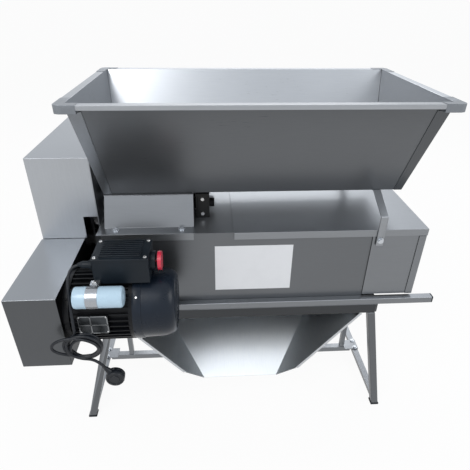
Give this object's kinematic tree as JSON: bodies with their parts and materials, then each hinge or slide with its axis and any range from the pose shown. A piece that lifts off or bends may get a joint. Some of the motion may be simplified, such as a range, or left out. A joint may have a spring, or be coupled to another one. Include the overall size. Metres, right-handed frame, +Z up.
{
  "type": "grape crusher destemmer",
  "caption": "Crusher destemmer: stainless hopper with auger over lobed rollers, perforated cage with bladed shaft, folded chute, tube stand, belt and chain drive, electric motor with cord.",
  "frame": {"origin": "centre of the machine's footprint, on the floor under its feet", "axes": "+X along the hopper's long side from the drive guards to the stalk outlet, -Y the side with the motor, +Z up"},
  "size_m": [1.114, 0.71, 0.976],
  "materials": {
    "steel_sheet": "satin brushed stainless sheet",
    "steel_tube": "satin stainless tube",
    "steel_shaft": "turned stainless bar",
    "bright_bolts": "bright hex bolts",
    "rubber_roller": "moulded rubber over a steel core",
    "black_block": "black moulded plastic",
    "cast_iron": "cast and machined iron",
    "motor_paint": "black enamel",
    "fan_cover_paint": "blue-black enamel",
    "black_plastic": "fine-textured black plastic",
    "red_plastic": "red moulded plastic",
    "blue_white_case": "pale blue-white plastic case",
    "belt_rubber": "black belt rubber",
    "cord_black": "black cord jacket"
  },
  "bodies": {
    "machine": {"stand_frame": "steel_tube", "legs": "steel_tube", "stand_side_bars": "steel_tube", "stand_cross_bar": "steel_tube", "carrying_rails": "steel_tube", "end_plugs": "black_plastic", "chute": "steel_sheet", "body_front_panel": "steel_sheet", "body_rear_panel": "steel_sheet", "drive_plate": "steel_sheet", "flange_bearings": "cast_iron", "cage_rings": "steel_sheet", "stalk_hood": "steel_sheet", "body_cover": "steel_sheet", "base_plate": "steel_sheet", "perforated_cage": "steel_sheet", "bearing_bridge": "steel_sheet", "crusher_front_plate": "steel_sheet", "crusher_rear_plate": "steel_sheet", "crusher_side_plates": "steel_sheet", "roller_bearing_blocks": "black_block", "hopper_front_panel": "steel_sheet", "hopper_rear_panel": "steel_sheet", "hopper_left_panel": "steel_sheet", "hopper_right_panel": "steel_sheet", "hopper_trough": "steel_sheet", "rim_corner_caps": "black_plastic", "hopper_straps": "steel_sheet", "drive_belt": "belt_rubber", "drive_chains": "steel_shaft", "upper_guard": "steel_sheet", "lower_guard": "steel_sheet", "motor_housing": "motor_paint", "fan_cover": "fan_cover_paint", "motor_base": "steel_sheet", "terminal_box": "black_plastic", "terminal_lid": "black_plastic", "switch_body": "black_plastic", "capacitor": "blue_white_case", "capacitor_clamp": "steel_sheet", "cable_gland": "black_plastic", "fasteners": "bright_bolts", "cord_tube": "cord_black", "cord_coil": "cord_black", "plug": "cord_black"},
    "beater": {"beater_shaft": "steel_shaft", "beater_paddles": "steel_sheet", "beater_pulley": "cast_iron"},
    "rotor": {"motor_shaft": "steel_shaft", "motor_pulley": "cast_iron", "motor_fan": "black_plastic"},
    "roller_front": {"front_roller": "rubber_roller", "front_roller_gear": "cast_iron"},
    "roller_rear": {"rear_roller": "rubber_roller", "rear_roller_gear": "cast_iron"},
    "auger": {"auger_shaft": "steel_shaft", "auger_flight": "steel_sheet", "auger_sprocket": "cast_iron"},
    "button": {"switch_button": "red_plastic"}
  },
  "joints": [
    {"name": "beater_spin", "type": "hinge", "parent": "machine", "child": "beater", "pos_m": [0, 0.076, 0.515], "axis": [1, 0, 0], "continuous": true},
    {"name": "rotor_spin", "type": "hinge", "parent": "machine", "child": "rotor", "pos_m": [0, -0.236, 0.503], "axis": [1, 0, 0], "continuous": true},
    {"name": "roller_rear_spin", "type": "hinge", "parent": "machine", "child": "roller_rear", "pos_m": [0, 0.131, 0.655], "axis": [1, 0, 0], "continuous": true},
    {"name": "roller_front_spin", "type": "hinge", "parent": "machine", "child": "roller_front", "pos_m": [0, 0.021, 0.655], "axis": [1, 0, 0], "continuous": true},
    {"name": "auger_spin", "type": "hinge", "parent": "machine", "child": "auger", "pos_m": [0, 0.076, 0.79], "axis": [1, 0, 0], "continuous": true},
    {"name": "button_press", "type": "slide", "parent": "machine", "child": "button", "axis": [-1, 0, 0], "range_m": [0, 0.005], "stiffness_N_per_m": 400}
  ],
  "couplings": [
    {"joint": "rotor_spin", "follows": "beater_spin", "ratio": 3},
    {"joint": "roller_rear_spin", "follows": "beater_spin", "ratio": 0.33333},
    {"joint": "roller_front_spin", "follows": "beater_spin", "ratio": -0.33333},
    {"joint": "auger_spin", "follows": "beater_spin", "ratio": 0.33333}
  ]
}
